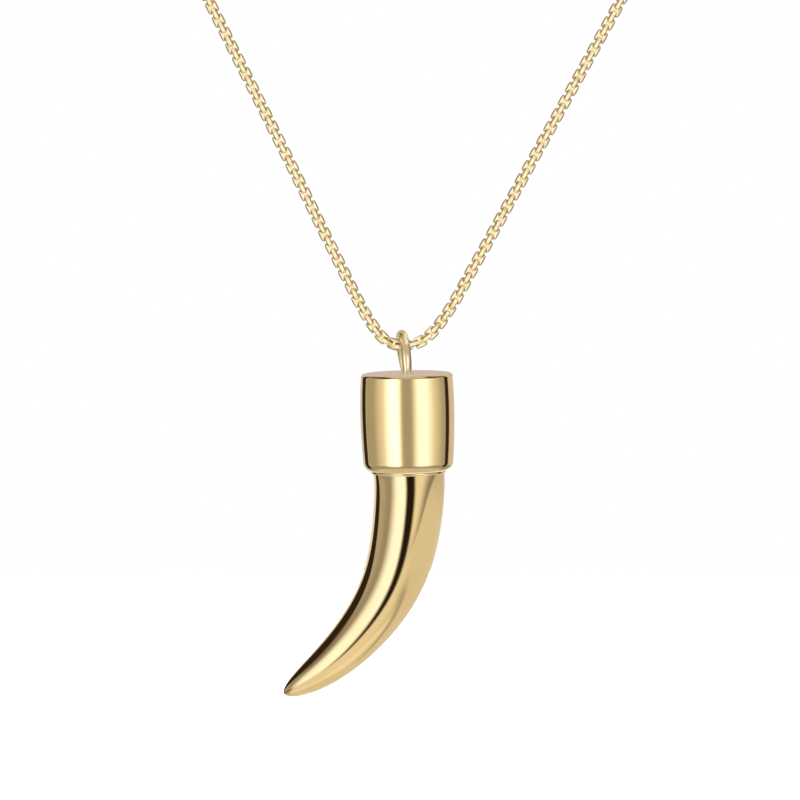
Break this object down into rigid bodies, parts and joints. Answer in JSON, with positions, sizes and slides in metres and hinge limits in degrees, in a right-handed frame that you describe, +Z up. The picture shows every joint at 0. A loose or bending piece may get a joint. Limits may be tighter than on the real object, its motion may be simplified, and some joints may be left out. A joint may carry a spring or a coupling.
{
  "type": "cornicello horn pendant on a box chain necklace",
  "caption": "Polished gold-coloured horn pendant: a curved, tapering horn in a barrel cap, hung by a wire bail that swings on a fine box chain closed by a spring ring.",
  "frame": {"origin": "at the nape, in the middle of the clasp, where the necklace lies on the back of the neck", "axes": "+Z up, +X to the wearer's left as seen from the front on the right, -Y towards the front, where the pendant hangs"},
  "size_m": [0.1287, 0.1158, 0.1705],
  "materials": {
    "horn_gold": "mirror-polished pale yellow gold plate",
    "cap_gold": "polished pale yellow gold plate, turned, with a slightly soft shine",
    "wire_gold": "polished drawn wire, pale yellow gold plate",
    "chain_gold": "tumbled and polished links, pale yellow gold plate",
    "clasp_gold": "polished pale yellow gold plate"
  },
  "bodies": {
    "necklace": {"chain": "chain_gold", "ring_left": "wire_gold", "ring_right": "wire_gold", "clasp": "clasp_gold"},
    "pendant": {"bail": "wire_gold", "cap": "cap_gold", "horn": "horn_gold"}
  },
  "joints": [
    {"name": "pendant_swing", "type": "hinge", "parent": "necklace", "child": "pendant", "pos_m": [0, -0.109, -0.1285], "axis": [1, 0, 0], "range_deg": [-90, 90]}
  ]
}
